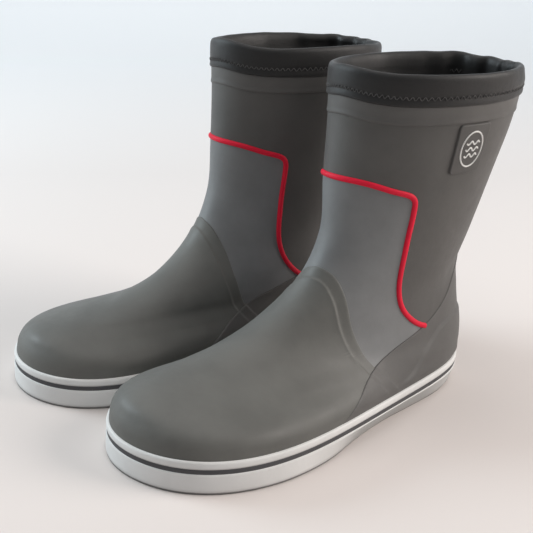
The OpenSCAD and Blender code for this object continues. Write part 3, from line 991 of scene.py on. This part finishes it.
def add_cuff_stitching(side):
    """Zigzag rows: each stitch is a short thread that dips into the fabric at both ends."""
    rise, radius, arch, dip = 1.3, 0.27, 0.55, 0.3
    turn = np.linspace(0, math.tau, 6, endpoint=False)
    strand = radius * np.stack([np.cos(turn), np.sin(turn)], -1)
    t = np.linspace(0, 1, 5)
    parts = []
    for offset, count in ((1.35, 208), (-4.45, 196)):
        ends = np.arange(count + 1) * math.tau / count
        heights = STITCH_Z + rise * np.where(np.arange(count + 1) % 2 == 0, -1, 1)
        outwards = math.copysign(1, offset)
        lift = offset + outwards * (arch * np.sin(math.pi * t) - dip)
        for k in range(count):
            angle = ends[k] + (ends[k + 1] - ends[k]) * t
            z = heights[k] + (heights[k + 1] - heights[k]) * t
            path = top_ring(angle, lift, z)
            parts.append(sweep(path, top_ring(angle, lift + outwards, z) - path, strand))
    add_piece(side, "cuff_stitching", "thread", *joined(parts))


# ---- badge ----

def badge_skin(u, w, height):
    """Points over the outer side, from their place in the badge's plane, and the normals there."""
    v, angle = on_side(BADGE_CENTRE[0] + u, BADGE_CENTRE[1] + w)
    return skin(v, angle, height), normals(v, angle)


def add_badge_patch(side):
    """Rounded rubber patch on the outer side."""
    corner, radius = 2.5, 0.8
    half_w, half_h = BADGE_SIZE[0] / 2, BADGE_SIZE[1] / 2
    u, w = np.meshgrid(np.linspace(-half_w, half_w, 40), np.linspace(-half_h, half_h, 50), indexing="xy")
    box_u, box_w = np.abs(u) - half_w + corner, np.abs(w) - half_h + corner
    inside = corner - np.hypot(np.maximum(box_u, 0), np.maximum(box_w, 0))
    inside = inside - np.minimum(np.maximum(box_u, box_w), 0)
    data = np.stack([u, w, inside], -1).reshape(-1, 3)
    triangles = halves(grid_faces(*u.shape, close_columns=False))
    levels = [0.02 + radius * k for k in EDGE_STEPS]
    data, triangles = split_all(*trim(data, triangles, 2, "above", levels[0]), 2, levels[1:])
    top, _ = badge_skin(data[:, 0], data[:, 1], rounded(BADGE_H, data[:, 2], radius))
    foot, _ = badge_skin(data[:, 0], data[:, 1], np.full(len(data), BURIED))
    add_piece(side, "badge_patch", "patch_rubber", *closed_sheet(top, foot, triangles))


def add_badge_emblem(side):
    """Raised oval ring round three waves."""
    ring_w, ring_h, row_gap, wave_half_length, wave_height, wave_length = 8.6, 11.6, 4.2, 5.2, 1.1, 5.2
    bead = half_round(1.1, 0.5, 0.3)
    turn = turns(72)
    path, out = badge_skin(ring_w * np.cos(turn), ring_h * np.sin(turn), np.full(len(turn), BADGE_H))
    parts = [sweep(path, out, bead, closed=True)]
    x = np.linspace(-wave_half_length, wave_half_length, 28)
    for row in (-row_gap, 0, row_gap):
        wave = row + wave_height * np.sin(x * math.tau / wave_length)
        path, out = badge_skin(x, wave, np.full(len(x), BADGE_H))
        parts.append(sweep(path, out, bead))
    add_piece(side, "badge_emblem", "emblem_rubber", *joined(parts))


# ---- stage, light and camera ----

HEADING = math.radians(59.01)     # how far round the camera stands from straight in front of the toes


def add_backdrop():
    """Floor that curves up into a wall far behind the boots, and glows softly further back."""
    front, back, top, bend, half_width = -3.0, 3.2, 3.0, 1.6, 4.0
    turn = np.linspace(0, math.pi / 2, 16)
    curve = [(front, 0.0)] + [(back - bend + bend * math.sin(t), bend - bend * math.cos(t)) for t in turn]
    curve.append((back, top))
    vertices = [(wide, reach, z) for reach, z in curve for wide in (-half_width, half_width)]
    faces = [(2 * k, 2 * k + 1, 2 * k + 3, 2 * k + 2) for k in range(len(curve) - 1)]
    mesh = bpy.data.meshes.new("backdrop")
    mesh.from_pydata(vertices, [], faces)
    mesh.shade_smooth()
    backdrop = bpy.data.objects.new("backdrop", mesh)
    backdrop.rotation_euler = (0, 0, HEADING)
    bpy.context.scene.collection.objects.link(backdrop)
    material, nodes, links, shader, where = new_material("backdrop_paper")
    axes = nodes.new("ShaderNodeSeparateXYZ")
    links.new(where, axes.inputs[0])
    far = spread(nodes, links, axes.outputs["Y"], 0, 1, start=0.0, end=1.5)
    paper = blend_colours(nodes, links, far, (0.70, 0.65, 0.625), (0.74, 0.75, 0.76))
    links.new(paper, shader.inputs["Base Color"])
    shader.inputs["Roughness"].default_value = 0.9
    shader.inputs["Emission Color"].default_value = (0.86, 0.94, 1.0, 1)
    links.new(spread(nodes, links, axes.outputs["Y"], 0, 0.46, start=0.6, end=2.3),
              shader.inputs["Emission Strength"])
    mesh.materials.append(material)


def add_light(name, place_at, aim, size, power, colour):
    lamp = bpy.data.lights.new(name, "AREA")
    lamp.shape = "DISK"
    lamp.size = size
    lamp.energy = power
    lamp.color = colour
    light = bpy.data.objects.new(name, lamp)
    light.location = place_at
    light.rotation_euler = (Vector(aim) - Vector(place_at)).to_track_quat("-Z", "Y").to_euler()
    bpy.context.scene.collection.objects.link(light)


def add_lights():
    world = bpy.data.worlds.new("studio")
    bpy.context.scene.world = world
    world.use_nodes = True
    sky = world.node_tree.nodes["Background"]
    sky.inputs["Color"].default_value = (0.90, 0.95, 1.0, 1)
    sky.inputs["Strength"].default_value = 0.25
    add_light("right_key", (1.1, 1.25, 0.95), (0, 0, 0.12), 1.3, 30, (1.0, 0.93, 0.88))
    add_light("left_rim", (-1.3, -0.95, 0.8), (0, 0, 0.12), 1.0, 20, (0.80, 0.93, 1.0))
    add_light("overhead", (-0.25, -0.3, 1.9), (0, 0, 0), 2.0, 17.5, (1.0, 0.96, 0.93))


def add_camera():
    elevation, distance = math.radians(22.6), 0.7835
    target = Vector((-0.0626, BOOT_Y * MM - 0.2429, 0.0460))
    back = Vector((math.sin(HEADING) * math.cos(elevation), -math.cos(HEADING) * math.cos(elevation),
                   math.sin(elevation)))
    data = bpy.data.cameras.new("camera")
    data.sensor_width = 36
    data.lens = 71.5
    data.shift_x = 0.326
    data.shift_y = 0.1005
    camera = bpy.data.objects.new("camera", data)
    camera.location = target + back * distance
    camera.rotation_euler = (-back).to_track_quat("-Z", "Y").to_euler()
    bpy.context.scene.collection.objects.link(camera)
    bpy.context.scene.camera = camera


# ---- build ----

add_camera()
add_lights()
add_backdrop()
bpy.context.scene.view_settings.view_transform = "Standard"

GRID = upper_grid()
for side in SIDES:
    add_uppers(side, GRID)
    add_piping(side, GRID)
    add_top_band(side)
    add_foxing(side)
    add_outsole(side)
    add_midsole(side)
    add_footbed(side)
    add_lining(side)
    finish_hidden_nodes(side)
    add_cuff(side)
    add_cuff_stitching(side)
    add_badge_patch(side)
    add_badge_emblem(side)
